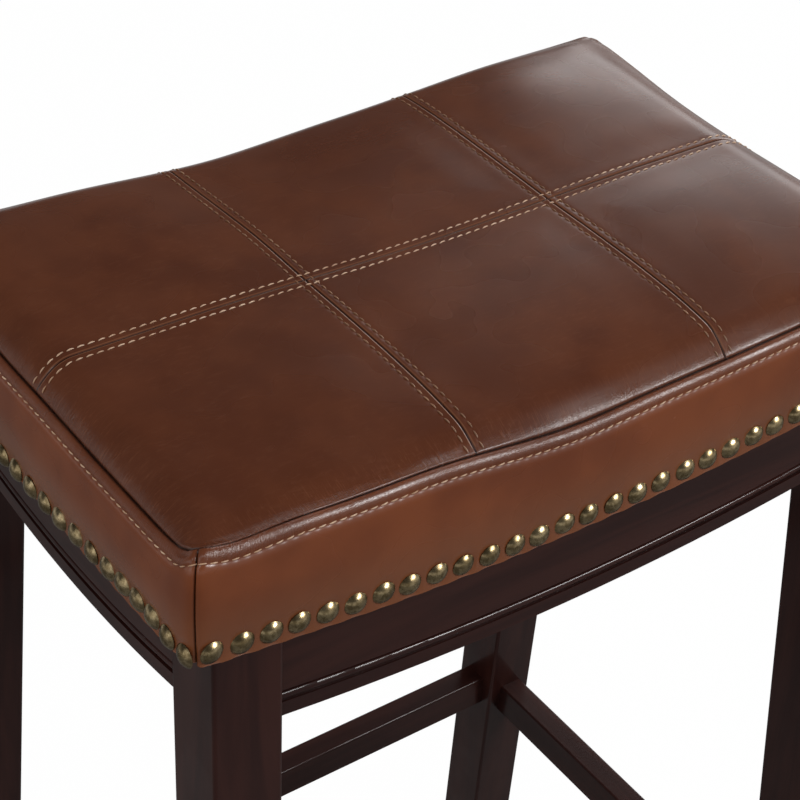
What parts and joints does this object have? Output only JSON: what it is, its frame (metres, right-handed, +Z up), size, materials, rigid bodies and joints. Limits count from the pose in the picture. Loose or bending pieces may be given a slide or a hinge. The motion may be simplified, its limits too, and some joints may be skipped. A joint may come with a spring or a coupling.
{
  "type": "bar stool",
  "caption": "Backless bar stool with a padded saddle seat, sewn leather cover with nail trim, splayed square legs, curved beaded aprons and stretchers.",
  "frame": {"origin": "on the floor, under the middle of the seat", "axes": "+Z up, +X across the seat's width, -Y is the front"},
  "size_m": [0.4908, 0.3912, 0.762],
  "materials": {
    "faux_leather": "polished brown faux leather",
    "antique_brass": "darkened antique brass",
    "espresso_wood": "near-black espresso lacquer, glossy",
    "raw_pine": "unfinished sawn wood",
    "plywood": "unfinished bent plywood",
    "foam": "open-cell polyurethane foam",
    "dust_cloth": "black non-woven cloth",
    "zinc_steel": "zinc plated",
    "glide_plastic": "black plastic"
  },
  "bodies": {
    "root": {"apron_back": "espresso_wood", "apron_front": "espresso_wood", "apron_left": "espresso_wood", "apron_right": "espresso_wood", "band_back": "faux_leather", "band_front": "faux_leather", "band_left": "faux_leather", "band_right": "faux_leather", "block_screws": "zinc_steel", "corner_block_back_left": "raw_pine", "corner_block_back_right": "raw_pine", "corner_block_front_left": "raw_pine", "corner_block_front_right": "raw_pine", "dust_cover": "dust_cloth", "foam_pad": "foam", "glide_nails": "zinc_steel", "glides": "glide_plastic", "leg_back_left": "espresso_wood", "leg_back_right": "espresso_wood", "leg_bolt_nuts": "zinc_steel", "leg_bolt_washers": "zinc_steel", "leg_bolts": "zinc_steel", "leg_front_left": "espresso_wood", "leg_front_right": "espresso_wood", "nails_back": "antique_brass", "nails_front": "antique_brass", "nails_left": "antique_brass", "nails_right": "antique_brass", "panel_back_left": "faux_leather", "panel_back_middle": "faux_leather", "panel_back_right": "faux_leather", "panel_front_left": "faux_leather", "panel_front_middle": "faux_leather", "panel_front_right": "faux_leather", "seat_board": "plywood", "seat_screws": "zinc_steel", "staples": "zinc_steel", "stretcher_back": "espresso_wood", "stretcher_front": "espresso_wood", "stretcher_left": "espresso_wood", "stretcher_right": "espresso_wood"}
  },
  "joints": []
}
